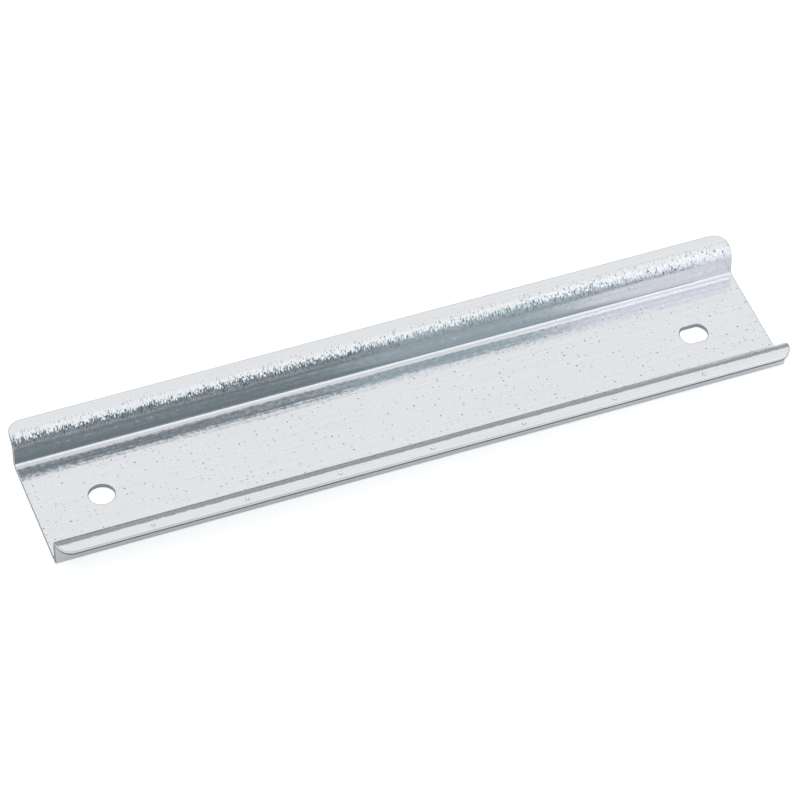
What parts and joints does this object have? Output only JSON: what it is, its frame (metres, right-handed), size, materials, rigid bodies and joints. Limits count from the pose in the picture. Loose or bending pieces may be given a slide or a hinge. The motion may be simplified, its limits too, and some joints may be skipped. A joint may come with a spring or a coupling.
{
  "type": "din rail",
  "caption": "Short top-hat mounting rail of plated sheet steel: flat web, upright walls and outward flanges that devices clip onto, with a round hole and a slot for its screws.",
  "frame": {"origin": "middle of the underside of the web", "axes": "+X along the rail, towards the end with the slot; +Z out of the open channel; the marked flange is at -Y"},
  "size_m": [0.144, 0.035, 0.0075],
  "materials": {
    "rail_steel": "bright zinc-plated, fine rolling marks"
  },
  "bodies": {
    "root": {"rail": "rail_steel"}
  },
  "joints": []
}
